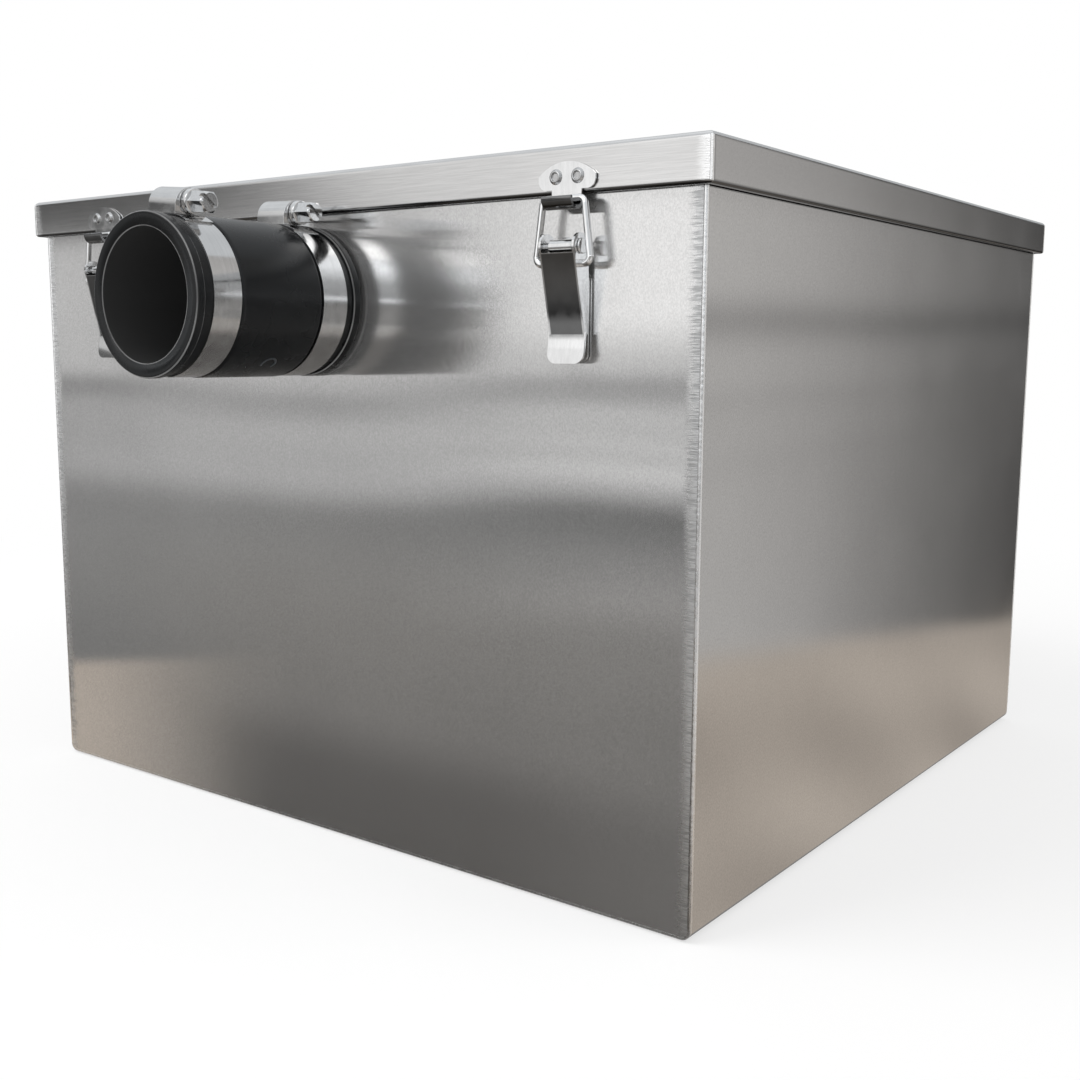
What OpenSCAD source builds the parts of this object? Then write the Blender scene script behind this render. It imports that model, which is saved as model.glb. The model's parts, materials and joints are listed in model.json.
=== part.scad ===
/* [Tank] */
// Width of the tank across its front panel
tank_w = 400; // [360:1:600]
// Depth of the tank from front panel to rear panel
tank_d = 390; // [360:1:600]
// Height of the closed trap, lid included
trap_h = 300; // [280:1:450]
// Thickness of the steel sheet
sheet = 1.5; // [1:0.1:2]
// Outside radius of the folded edges
bend_r = 4; // [3:0.5:6]
// Width of the rim that is turned in at the top
rim_w = 16; // [12:1:24]

/* [Lid] */
// Height of the lid's skirt
skirt_h = 18; // [16:0.5:24]
// Height of the skirt's folded-in hem
hem_h = 8; // [7:0.5:10]
// Outside radius of the lid's top fold
lid_bend_r = 2.5; // [2:0.5:4]
// Gap between the hem and the tank wall
lid_gap = 1.2; // [1:0.1:2]
// Thickness of the lid gasket
gasket_t = 4; // [3:0.5:6]
// Width of the lid gasket
gasket_w = 12; // [8:1:16]

/* [Pipe connections] */
// Depth of the inlet axis below the top of the lid
inlet_drop = 55.5; // [52:0.5:90]
// How much lower than the inlet the outlet sits
outlet_fall = 15; // [0:1:40]
// Outside diameter of the steel spigots
spigot_od = 53; // [50:0.5:58]
// Wall of the steel spigots
spigot_wall = 1.5; // [1:0.1:3]
// How far a spigot reaches into the tank
spigot_inside = 15; // [5:1:25]
// Gap between a coupling and its panel
coupling_gap = 1.5; // [1:0.5:4]
// Length of a coupling
coupling_len = 88; // [80:1:110]
// Outside diameter of a coupling
coupling_od = 65; // [63:0.5:74]
// Width of the stop rib half-way along a coupling's bore
stop_w = 4; // [3:0.5:8]
// Width of the lip at each end of a coupling
lip_w = 4.4; // [3:0.1:6]
// Depth of a clip seat below the lips
seat_depth = 1.1; // [0.8:0.1:1.5]
// Rubber left bare between a lip and its clip
lip_to_clip = 4.1; // [3:0.1:6]

/* [Clips] */
// Width of a clip band
band_w = 13.5; // [12:0.5:15]
// Thickness of a clip band
band_t = 0.8; // [0.6:0.1:1]
// Length of a clip's screw housing
housing_len = 16.5; // [14:0.5:20]
// Height of a screw housing above its band
housing_h = 9.5; // [9.2:0.1:11]
// Radius of a worm screw over its thread
worm_r = 4.1; // [3.5:0.1:4.2]
// Size of a screw's hexagon across its flats
hex_af = 8; // [7:0.5:9]
// Length of a screw's hexagon
hex_len = 8.5; // [6:0.5:10]
// Turn of an outer clip round its coupling, in degrees
outer_clip_turn = 5; // [-20:1:20]
// Turn of an inner clip round its coupling, in degrees
inner_clip_turn = 2; // [-20:1:20]

/* [Latches] */
// Distance of each latch from the middle of its panel
latch_x = 143; // [120:1:160]
// Thickness of the catch and base plates
plate_t = 1.2; // [1:0.1:1.5]
// Width of a catch plate's head
catch_head_w = 26; // [24:0.5:32]
// Width of a catch plate's neck and hook
catch_neck_w = 13.6; // [11:0.1:14]
// Clear width inside a hook, from neck to lip
hook_gap = 5.8; // [5.6:0.1:6.4]
// Height of a hook's lip above the middle of its bend
hook_lip = 0.6; // [0.5:0.1:0.8]
// Depth of a bail's bar below the lid edge
bar_drop = 2; // [1:0.5:4]
// Diameter of the bail wire
wire_d = 2.8; // [2.4:0.1:3]
// Half width of a bail at its bar
bail_top = 9.4; // [9:0.1:11]
// Half width of a bail at its pivots
bail_foot = 12.6; // [12.2:0.1:14]
// Depth of a lever's pivot below the lid edge
pivot_drop = 19.5; // [19:0.5:26]
// Distance of a lever's pivot from the tank wall
pivot_out = 7.2; // [7:0.1:8]
// Distance from a lever's pivot to its bail pivot
crank = 6.4; // [6:0.1:7]
// Diameter of a pivot pin
pin_d = 3; // [2.4:0.1:3.2]
// Width of a lever
lever_w = 16.2; // [15.5:0.1:17]
// Thickness of a lever's sheet
lever_t = 1; // [0.8:0.1:1.2]
// Length of a lever from its pivot to its bend
lever_len = 32.5; // [28:0.5:40]
// Length of a lever's finger tab
tab_len = 11; // [8:0.5:16]
// Width of a lever's finger tab
tab_w = 17; // [16.5:0.5:22]
// Width of a base plate
base_w = 15; // [13:0.5:24]
// Width of a base plate's rolled knuckle
knuckle_w = 10.5; // [8:0.5:11]
// Diameter of a rivet's shank
rivet_d = 3.2; // [2.4:0.1:4]
// Diameter of a rivet's head
rivet_head_d = 6; // [5:0.1:6.6]
// Height of a rivet's head
rivet_head_h = 1; // [0.8:0.1:1.2]

/* [Inside] */
// Distance of the inlet baffle from the inside of the front panel
inlet_chamber = 138; // [130:1:160]
// Distance of the outlet baffle from the inside of the rear panel
outlet_chamber = 105; // [60:1:120]
// Gap under each baffle
baffle_gap = 60; // [40:1:90]
// Gap between a baffle's top and the rim
baffle_top_gap = 22; // [15:1:40]
// Width of the strainer basket
basket_w = 220; // [160:1:260]
// Depth of the strainer basket
basket_d = 110; // [80:1:115]
// Height of the strainer basket
basket_h = 105; // [80:1:115]
// Gap between the spigot and the basket's top
basket_below = 12; // [6:1:20]
// Diameter of a strainer hole
strainer_hole = 8; // [4:0.5:10]
// Distance between strainer holes
strainer_pitch = 20; // [16:1:30]
// Height of the basket handle above the basket
handle_h = 55; // [40:1:58]
// Width of the basket handle's strap
handle_w = 14; // [8:1:20]
// Width of a basket rail
rail_w = 15; // [10:1:25]
// Thickness of a basket rail
rail_t = 3; // [2:0.5:5]

/* [Hidden] */
$fn = 64;
// Small overlap that makes cuts clean
cut = 1;
// Clearance of pieces that are held together
snug = 0.05;
// Radial clearance of pins and screws that turn
running = 0.05;
// Clearance round a bail's bar in its hook
bar_gap = 0.3;
// Clearance between the outside of the clip band and the worm
worm_gap = 0.1;
// Clearance between a spigot's end and the stop rib
stop_gap = 0.3;
// Clearance between a lever's walls and its base plate
wall_gap = 0.7;

rim_top = trap_h - sheet - gasket_t;
lid_edge = trap_h - skirt_h;
lid_out = lid_gap + 2 * sheet;
inlet_z = trap_h - inlet_drop;
outlet_z = inlet_z - outlet_fall;

bore_r = spigot_od / 2 + 2 * snug;
lip_r = coupling_od / 2;
seat_r = lip_r - seat_depth;
stop_r = spigot_od / 2 - spigot_wall;
socket_len = (coupling_len - stop_w) / 2;
spigot_out = coupling_gap + socket_len - stop_gap;
seat_side = 0.5;
seat_len = lip_to_clip + band_w + seat_side;
inner_clip_s = coupling_gap + lip_w + lip_to_clip + band_w / 2;
outer_clip_s = coupling_gap + coupling_len - lip_w - lip_to_clip - band_w / 2;

band_r = seat_r + snug;
tail_r = band_r + 2 * band_t;
worm_s = tail_r + worm_r + worm_gap;
housing_wall = 0.7;
housing_w = band_w + 2 * housing_wall;
collar_step = 1;
collar_r = worm_r + collar_step;
collar_len = 3;

wire_r = wire_d / 2;
catch_face = lid_out + plate_t;
bar_out = catch_face + wire_r + bar_gap;
bar_z = lid_edge - bar_drop;
hook_out = catch_face + hook_gap + plate_t;
catch_head_up = 11.8;
catch_top = lid_edge + catch_head_up;
rivet_up = 6.3;
rivet_z = lid_edge + rivet_up;
rivet_x = 5;
pivot_z = lid_edge - pivot_drop;
ear_r = 4.9;
knuckle_wall = 1.1;
knuckle_r = pin_d / 2 + knuckle_wall;
tab_below_base = 0.5;
base_bottom = pivot_z - lever_len - tab_len + tab_below_base;
base_rivet_drops = [15, 25];
web_top_out = 11.4;
web_top_drop = 2.45;
web_foot_out = 4.4;
brow_out = 3.9;
tab_foot_out = 6;
wall_back_out = plate_t + wall_gap;

inner_front = -tank_d / 2 + sheet;
inner_rear = tank_d / 2 - sheet;
inlet_baffle_y = inner_front + inlet_chamber;
outlet_baffle_y = inner_rear - outlet_chamber;
basket_top = inlet_z - spigot_od / 2 - basket_below;
basket_floor = basket_top - basket_h;
basket_y = inner_front + (inlet_chamber - sheet) / 2;
rail_x = basket_w / 2 - rail_w;

// Side and direction of each latch: front or rear, left or right as seen from the front
LATCHES = [["front_left", 0, -1], ["front_right", 0, 1], ["rear_left", 1, -1], ["rear_right", 1, 1]];
LATCH_PIECES = ["catch_plate", "latch_base", "pivot_pin", "lever", "bail"];
// Each clip's end of the trap, place along its coupling and turn round it
CLIPS = [
    ["inlet_outer_clip", 0, outer_clip_s, outer_clip_turn],
    ["inlet_inner_clip", 0, inner_clip_s, inner_clip_turn],
    ["outlet_outer_clip", 1, outer_clip_s, outer_clip_turn],
    ["outlet_inner_clip", 1, inner_clip_s, inner_clip_turn]
];
CLIP_PIECES = ["band", "housing", "screw"];

// Rectangle from z0 to z1, centred on x, with its own radius at the lower and upper corners
module round_plate(w, z0, z1, r_low, r_high) {
    union() {
        translate([-w / 2, z0 + r_low]) square([w, z1 - r_high - z0 - r_low]);
        translate([-w / 2 + r_low, z0]) square([w - 2 * r_low, r_low]);
        translate([-w / 2 + r_high, z1 - r_high]) square([w - 2 * r_high, r_high]);
        for (side = [-1, 1]) {
            translate([side * (w / 2 - r_low), z0 + r_low]) circle(r = r_low);
            translate([side * (w / 2 - r_high), z1 - r_high]) circle(r = r_high);
        }
    }
}

// Section of a ring from r0 to r1 and s0 to s1, with round outer corners
module ring_section(r0, r1, s0, s1, c) {
    union() {
        translate([r0, s0]) square([r1 - c - r0, s1 - s0]);
        translate([r0, s0 + c]) square([r1 - r0, s1 - s0 - 2 * c]);
        for (s = [s0 + c, s1 - c]) translate([r1 - c, s]) circle(r = c);
    }
}

// Extrudes an outline drawn in x and z along y
module along_y(y0, y1) {
    translate([0, y1, 0]) rotate([90, 0, 0]) linear_extrude(y1 - y0) children();
}

// Extrudes an outline drawn in y and z along x
module along_x(x0, x1) {
    translate([x0, 0, 0]) rotate([90, 0, 90]) linear_extrude(x1 - x0) children();
}

// Places a piece at a pipe connection: z outwards from the panel, y up; end is 0 for inlet, 1 for outlet
module at_pipe(end) {
    translate([0, end == 0 ? -tank_d / 2 : tank_d / 2, end == 0 ? inlet_z : outlet_z])
        rotate([90, 0, end == 0 ? 0 : 180])
            children();
}

// Places a piece at a latch: y outwards from the panel, z as in the trap
module at_latch(l) {
    translate([l[2] * latch_x, l[1] == 0 ? -tank_d / 2 : tank_d / 2, 0])
        rotate([0, 0, l[1] == 0 ? 180 : 0])
            children();
}

// Tank
module tank_wrap() {
    color("silver")
        along_y(inner_front, inner_rear)
            difference() {
                round_plate(tank_w, 0, rim_top, bend_r, bend_r);
                round_plate(tank_w - 2 * sheet, sheet, rim_top - sheet, bend_r - sheet, bend_r - sheet);
                translate([-tank_w / 2 + rim_w, rim_top - sheet - cut])
                    square([tank_w - 2 * rim_w, sheet + 2 * cut]);
            }
}

// End panel with its own rim; end is 0 for the front, 1 for the rear
module end_panel(end) {
    y0 = end == 0 ? -tank_d / 2 : inner_rear;
    rim_y = end == 0 ? inner_front - sheet / 2 : inner_rear - rim_w + sheet;
    color("silver")
        difference() {
            union() {
                along_y(y0, y0 + sheet) round_plate(tank_w, 0, rim_top, bend_r, bend_r);
                translate([-tank_w / 2 + rim_w, rim_y, rim_top - sheet])
                    cube([tank_w - 2 * rim_w, rim_w - sheet / 2, sheet]);
            }
            at_pipe(end) translate([0, 0, -sheet - cut])
                cylinder(r = spigot_od / 2 + snug, h = sheet + 2 * cut);
            for (l = LATCHES) if (l[1] == end) at_latch(l) base_rivet_holes();
        }
}

module base_rivet_holes() {
    for (drop = base_rivet_drops)
        translate([0, plate_t + cut, pivot_z - drop]) rotate([90, 0, 0])
            cylinder(d = rivet_d + 2 * snug, h = plate_t + sheet + 2 * cut);
}

module baffle(y) {
    color("silver")
        translate([-tank_w / 2 + sheet, y - sheet / 2, baffle_gap])
            cube([tank_w - 2 * sheet, sheet, rim_top - sheet - baffle_top_gap - baffle_gap]);
}

// Lid
// Block with the lid's folded edges from z0 to z1, grown on every side
module lid_block(grow, z0, z1, r_low, r_high) {
    w = tank_w + 2 * lid_out + 2 * grow;
    d = tank_d + 2 * lid_out + 2 * grow;
    intersection() {
        along_y(-d / 2, d / 2) round_plate(w, z0, z1, r_low, r_high);
        along_x(-w / 2, w / 2) round_plate(d, z0, z1, r_low, r_high);
    }
}

module lid() {
    hem_round = 0.6;
    w = tank_w + 2 * lid_gap;
    d = tank_d + 2 * lid_gap;
    color("silver")
        difference() {
            lid_block(0, lid_edge, trap_h, sheet, lid_bend_r);
            lid_block(-sheet, lid_edge + hem_h, trap_h - sheet, hem_round, lid_bend_r - sheet);
            translate([-w / 2, -d / 2, lid_edge - cut]) cube([w, d, hem_h + 2 * cut]);
            for (l = LATCHES) at_latch(l) catch_rivet_holes();
        }
}

module catch_rivet_holes() {
    for (x = [-rivet_x, rivet_x])
        translate([x, catch_face + cut, rivet_z]) rotate([90, 0, 0])
            cylinder(d = rivet_d + 2 * snug, h = catch_face - lid_gap + 2 * cut);
}

module lid_gasket() {
    edge = bend_r;
    color("dimgray")
        translate([0, 0, rim_top])
            linear_extrude(gasket_t)
                difference() {
                    square([tank_w - 2 * edge, tank_d - 2 * edge], center = true);
                    square([tank_w - 2 * edge - 2 * gasket_w, tank_d - 2 * edge - 2 * gasket_w], center = true);
                }
}

// Pipe connections
module spigot(end) {
    color("lightgray")
        at_pipe(end) translate([0, 0, -sheet - spigot_inside])
            difference() {
                cylinder(r = spigot_od / 2, h = spigot_out + sheet + spigot_inside);
                translate([0, 0, -cut])
                    cylinder(r = stop_r, h = spigot_out + sheet + spigot_inside + 2 * cut);
            }
}

// Moulded sleeve: two sockets that meet at a stop rib, a lip at each end and a seat for each clip
module coupling(end) {
    lip_round = 1;
    barrel_round = 2;
    middle = coupling_len / 2;
    seat_end = lip_w + seat_len;
    color([0.13, 0.13, 0.14])
        at_pipe(end) translate([0, 0, coupling_gap])
            rotate_extrude($fn = 128)
                union() {
                    translate([bore_r, lip_w / 2]) square([seat_r - bore_r, coupling_len - lip_w]);
                    ring_section(bore_r, lip_r, 0, lip_w, lip_round);
                    ring_section(bore_r, lip_r, coupling_len - lip_w, coupling_len, lip_round);
                    ring_section(bore_r, lip_r, seat_end, coupling_len - seat_end, barrel_round);
                    translate([stop_r, middle - stop_w / 2]) square([bore_r - stop_r + cut, stop_w]);
                }
}

// Clips: tangent along x, outwards from the pipe along y
module at_clip(c) {
    at_pipe(c[1]) translate([0, 0, c[2]]) rotate([0, 0, -c[3]]) children();
}

// Band with its tail lying over it under the housing, pressed with slots for the worm
module clip_band() {
    tail_start = 65;
    tail_turn = 45;
    slot_step = 4.2;
    slots = 5;
    slot_w = 1.1;
    color("gainsboro")
        difference() {
            union() {
                rotate_extrude($fn = 128) translate([band_r, -band_w / 2]) square([band_t, band_w]);
                rotate([0, 0, tail_start])
                    rotate_extrude(angle = tail_turn, $fn = 128)
                        translate([band_r + band_t / 2, -band_w / 2]) square([3 * band_t / 2, band_w]);
            }
            for (i = [1 : slots])
                rotate([0, 0, tail_start + i * slot_step])
                    translate([band_r + band_t + band_t / 2, -slot_w / 2, -band_w / 4])
                        cube([band_t, slot_w, band_w / 2]);
        }
}

module clip_housing() {
    arch_r = housing_w / 2;
    top = tail_r + housing_h;
    foot = band_r + band_t / 2;
    color("gainsboro")
        difference() {
            translate([-housing_len / 2, 0, 0]) rotate([0, 90, 0])
                linear_extrude(housing_len)
                    union() {
                        translate([-arch_r, foot]) square([housing_w, top - arch_r - foot]);
                        translate([0, top - arch_r]) circle(r = arch_r);
                    }
            translate([0, 0, -band_w / 2 - snug])
                cylinder(r = tail_r + snug, h = band_w + 2 * snug, $fn = 128);
            translate([-housing_len / 2 - cut, worm_s, 0]) rotate([0, 90, 0])
                cylinder(r = worm_r + running, h = housing_len + 2 * cut);
        }
}

module clip_screw() {
    end_play = 0.2;
    nose = 0.8;
    slot_w = 1.3;
    slot_deep = 2.4;
    collar_x = housing_len / 2 + end_play;
    head_x = collar_x + collar_len;
    hex_r = hex_af / 2 / cos(30);
    color("whitesmoke")
        translate([0, worm_s, 0]) rotate([0, 90, 0])
            difference() {
                union() {
                    translate([0, 0, -housing_len / 2 - nose])
                        cylinder(r = worm_r, h = housing_len + nose + end_play + cut);
                    translate([0, 0, collar_x]) cylinder(r = collar_r, h = collar_len);
                    translate([0, 0, head_x - cut]) cylinder(r = hex_r, h = hex_len + cut, $fn = 6);
                }
                translate([-slot_w / 2, -collar_r, head_x + hex_len - slot_deep])
                    cube([slot_w, 2 * collar_r, slot_deep + cut]);
            }
}

// Latches
// Plate with a broad rounded head on the lid's skirt, a neck and a hook turned out and up
module catch_plate() {
    crown_r = 19;
    lobe_r = 3.6;
    lobe_up = 1.5;
    lobe_x = catch_head_w / 2 - lobe_r;
    lobe_z = lid_edge + lobe_up + lobe_r;
    color("white")
        difference() {
            union() {
                translate([0, catch_face, 0]) rotate([90, 0, 0])
                    linear_extrude(plate_t)
                        union() {
                            intersection() {
                                translate([0, catch_top - crown_r]) circle(r = crown_r, $fn = 128);
                                translate([-catch_head_w / 2, lobe_z])
                                    square([catch_head_w, catch_top - lobe_z + cut]);
                            }
                            translate([-lobe_x, lobe_z - lobe_r]) square([2 * lobe_x, 2 * lobe_r]);
                            for (side = [-1, 1]) translate([side * lobe_x, lobe_z]) circle(r = lobe_r);
                            translate([-catch_neck_w / 2, bar_z]) square([catch_neck_w, lobe_z - bar_z]);
                        }
                along_x(-catch_neck_w / 2, catch_neck_w / 2) hook_section();
            }
            catch_rivet_holes();
        }
}

// Section of the hook: half a ring round the bail's bar, with a short lip
module hook_section() {
    lap = 0.3;
    inner = hook_gap / 2;
    middle = catch_face + inner;
    union() {
        difference() {
            translate([middle, bar_z]) circle(r = inner + plate_t);
            translate([middle, bar_z]) circle(r = inner);
            translate([middle - inner, bar_z]) square([hook_gap + plate_t + cut, inner + plate_t + cut]);
            translate([lid_out - cut, bar_z + lap]) square([hook_gap, inner + plate_t + cut]);
        }
        translate([hook_out - plate_t, bar_z - lap]) square([plate_t, lap + hook_lip - plate_t / 2]);
        translate([hook_out - plate_t / 2, bar_z + hook_lip - plate_t / 2]) circle(d = plate_t);
    }
}

// Plate on the tank wall with a tongue that rolls round the pivot pin
module latch_base() {
    corner = 3;
    tongue = 9.5;
    shoulder = pivot_z - tongue;
    color("white")
        difference() {
            union() {
                translate([0, plate_t, 0]) rotate([90, 0, 0])
                    linear_extrude(plate_t)
                        round_plate(base_w, base_bottom, shoulder, corner, corner);
                along_x(-knuckle_w / 2, knuckle_w / 2) {
                    polygon([
                        [0, shoulder - corner], [plate_t, shoulder - corner], [plate_t, shoulder],
                        [pivot_out - knuckle_r / 2, pivot_z - knuckle_r / 2],
                        [pivot_out - knuckle_r, pivot_z], [0, shoulder + plate_t / 2]
                    ]);
                    translate([pivot_out, pivot_z]) circle(r = knuckle_r);
                }
            }
            translate([-knuckle_w / 2 - cut, pivot_out, pivot_z]) rotate([0, 90, 0])
                cylinder(d = pin_d + 2 * snug, h = knuckle_w + 2 * cut);
            base_rivet_holes();
        }
}

module pivot_pin() {
    head_r = 2.9;
    head_t = 0.9;
    head_gap = 0.15;
    reach = lever_w / 2 + head_gap;
    color("white")
        translate([0, pivot_out, pivot_z]) rotate([0, 90, 0]) {
            translate([0, 0, -reach - head_t]) cylinder(d = pin_d, h = 2 * (reach + head_t));
            for (x = [-reach - head_t, reach]) translate([0, 0, x]) cylinder(r = head_r, h = head_t);
        }
}

// Side outline of a lever's walls: a round ear at the pivot, tapering to the bend
module lever_wall() {
    bend_z = pivot_z - lever_len;
    top_z = pivot_z - web_top_drop;
    union() {
        translate([pivot_out, pivot_z]) circle(r = ear_r);
        polygon([
            [wall_back_out, bend_z], [web_foot_out, bend_z], [web_top_out, top_z],
            [pivot_out + brow_out, pivot_z], [pivot_out - ear_r, pivot_z],
            [wall_back_out, pivot_z - crank - ear_r]
        ]);
    }
}

// Side outline of a lever's web and of the finger tab below its bend
module lever_web() {
    bend_z = pivot_z - lever_len;
    top_z = pivot_z - web_top_drop;
    polygon([
        [web_top_out, top_z], [web_foot_out, bend_z], [web_foot_out - lever_t, bend_z],
        [web_top_out - lever_t, top_z]
    ]);
}

module lever_tab() {
    bend_z = pivot_z - lever_len;
    polygon([
        [web_foot_out, bend_z + lever_t], [tab_foot_out, bend_z - tab_len],
        [tab_foot_out - lever_t, bend_z - tab_len], [web_foot_out - lever_t, bend_z]
    ]);
}

module lever() {
    tab_corner = 4;
    bend_z = pivot_z - lever_len;
    color("white")
        difference() {
            union() {
                for (x = [-lever_w / 2, lever_w / 2 - lever_t]) along_x(x, x + lever_t) lever_wall();
                along_x(-lever_w / 2 + lever_t / 2, lever_w / 2 - lever_t / 2) lever_web();
                intersection() {
                    along_x(-tab_w / 2, tab_w / 2) lever_tab();
                    along_y(0, web_top_out)
                        round_plate(tab_w, bend_z - tab_len, bend_z + tab_corner, tab_corner, tab_corner / 2);
                }
            }
            translate([-lever_w / 2 - cut, pivot_out, pivot_z]) rotate([0, 90, 0])
                cylinder(d = pin_d + 2 * running, h = lever_w + 2 * cut);
            translate([-lever_w / 2 - cut, pivot_out, pivot_z - crank]) rotate([0, 90, 0])
                cylinder(r = wire_r + running, h = lever_w + 2 * cut);
        }
}

// Round wire through points in a plane, each inner corner turned at one bend radius.
// The bends are a hair thicker, and the straight lengths reach a little way into them.
module wire(points, r, bend) {
    swell = 0.02;
    lap = 0.25;
    last = len(points) - 1;
    directions = [for (i = [0 : last - 1]) (points[i + 1] - points[i]) / norm(points[i + 1] - points[i])];
    turns = [for (i = [0 : last - 2])
        atan2(cross(directions[i], directions[i + 1]), directions[i] * directions[i + 1])];
    trims = [for (i = [0 : last]) i == 0 || i == last ? 0 : bend * tan(abs(turns[i - 1]) / 2)];
    cuts = [for (i = [0 : last]) i == 0 || i == last ? 0 : trims[i] - lap];
    for (i = [0 : last - 1]) {
        start = points[i] + directions[i] * cuts[i];
        length = norm(points[i + 1] - points[i]) - cuts[i] - cuts[i + 1];
        translate(start) rotate([0, 0, atan2(directions[i].y, directions[i].x)]) rotate([0, 90, 0])
            cylinder(r = r, h = length);
    }
    for (i = [1 : last - 1]) {
        side = sign(turns[i - 1]);
        heading = atan2(directions[i - 1].y, directions[i - 1].x);
        start = points[i] - directions[i - 1] * trims[i];
        centre = start + side * bend * [-directions[i - 1].y, directions[i - 1].x];
        translate(centre) rotate([0, 0, heading - side * 90])
            rotate_extrude(angle = turns[i - 1]) translate([bend, 0]) circle(r = r + swell);
    }
}

// Bent wire: its two ends turn in through the lever's walls, and its bar lies in the hook
module bail() {
    bend = 2.6;
    past_wall = 0.7;
    pin_in = lever_w / 2 - lever_t - past_wall;
    reach = norm([bar_out - pivot_out, bar_z - pivot_z + crank]);
    lean = atan2(pivot_out - bar_out, bar_z - pivot_z + crank);
    color("white")
        translate([0, pivot_out, pivot_z - crank]) rotate([90 + lean, 0, 0])
            wire([
                [-pin_in, 0], [-bail_foot, 0], [-bail_top, reach],
                [bail_top, reach], [bail_foot, 0], [pin_in, 0]
            ], wire_r, bend);
}

// Domed rivet along y with its head's underside at y0 and its flat tail at y1
module rivet(y0, y1, tail) {
    dimple_d = 3;
    dimple_deep = 0.7;
    head_slope = 0.9;
    tail_step = 0.6;
    face_d = rivet_head_d - 2 * head_slope;
    tail_d = rivet_head_d - 2 * tail_step;
    rotate([-90, 0, 0]) {
        translate([0, 0, y1]) cylinder(d = rivet_d, h = y0 - y1);
        translate([0, 0, y1 - tail]) cylinder(d = tail_d, h = tail);
        difference() {
            translate([0, 0, y0])
                cylinder(d1 = rivet_head_d, d2 = face_d, h = rivet_head_h);
            translate([0, 0, y0 + rivet_head_h - dimple_deep]) cylinder(d = dimple_d, h = dimple_deep + cut);
        }
    }
}

module catch_rivets() {
    tail = lid_gap / 2;
    color("lightgray")
        for (l = LATCHES) at_latch(l)
            for (x = [-rivet_x, rivet_x]) translate([x, 0, rivet_z]) rivet(catch_face, lid_gap, tail);
}

module base_rivets() {
    tail = 1.2;
    color("lightgray")
        for (l = LATCHES) at_latch(l)
            for (drop = base_rivet_drops) translate([0, 0, pivot_z - drop]) rivet(plate_t, -sheet, tail);
}

// Inside
module basket_rails() {
    color("silver")
        for (side = [-1, 1])
            translate([side * rail_x - rail_w / 2, inner_front, basket_floor - rail_t])
                cube([rail_w, inlet_chamber - sheet / 2, rail_t]);
}

// Number of holes that fit in a length with half a pitch left at each end
function hole_count(length) = max(1, floor((length - strainer_pitch) / strainer_pitch));

module hole_grid(a, b) {
    for (i = [1 : hole_count(a)], j = [1 : hole_count(b)])
        translate([(i - (hole_count(a) + 1) / 2) * strainer_pitch, (j - (hole_count(b) + 1) / 2) * strainer_pitch])
            circle(d = strainer_hole);
}

module strainer_basket() {
    color("silver")
        translate([0, basket_y, basket_floor])
            difference() {
                translate([-basket_w / 2, -basket_d / 2, 0]) cube([basket_w, basket_d, basket_h]);
                translate([-basket_w / 2 + sheet, -basket_d / 2 + sheet, sheet])
                    cube([basket_w - 2 * sheet, basket_d - 2 * sheet, basket_h]);
                translate([0, 0, -cut]) linear_extrude(sheet + 2 * cut) hole_grid(basket_w, basket_d);
                translate([0, 0, basket_h / 2])
                    for (turn = [0, 90]) rotate([0, 0, turn]) rotate([90, 0, 0])
                        linear_extrude(basket_w + 2 * cut, center = true)
                            hole_grid(turn == 0 ? basket_w : basket_d, basket_h);
            }
}

// Strap bent over the basket and fixed to the outside of its two ends
module basket_handle() {
    lap = 25;
    corner = 12;
    w = basket_w + 2 * sheet;
    color("silver")
        along_y(basket_y - handle_w / 2, basket_y + handle_w / 2)
            difference() {
                round_plate(w, basket_top - lap - corner, basket_top + handle_h, corner / 2, corner);
                round_plate(w - 2 * sheet, basket_top - lap - 2 * corner, basket_top + handle_h - sheet,
                    corner / 2, corner - sheet);
                translate([-w / 2 - cut, basket_top - lap - 2 * corner]) square([w + 2 * cut, 2 * corner]);
            }
}

tank_wrap();
end_panel(0);  // front_panel
end_panel(1);  // rear_panel
lid();
lid_gasket();
spigot(0);  // inlet_spigot
spigot(1);  // outlet_spigot
coupling(0);  // inlet_coupling
coupling(1);  // outlet_coupling
baffle(inlet_baffle_y);  // inlet_baffle
baffle(outlet_baffle_y);  // outlet_baffle
basket_rails();
strainer_basket();
basket_handle();
catch_rivets();
base_rivets();
for (c = CLIPS) {
    at_clip(c) clip_band();
    at_clip(c) clip_housing();
    at_clip(c) clip_screw();
}
for (l = LATCHES) {
    at_latch(l) catch_plate();
    at_latch(l) latch_base();
    at_latch(l) pivot_pin();
    at_latch(l) lever();
    at_latch(l) bail();
}
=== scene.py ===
# %% [markdown]
# # A stainless grease trap
# The trap is a welded steel box with a loose lid, toggle latches and a rubber pipe coupling at each end.
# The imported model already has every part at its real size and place, so this lesson only dresses it:
# finishes for the sheet steel, and finer pieces where the real one has rounded edges, threads and welds.

import json
import math

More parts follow.
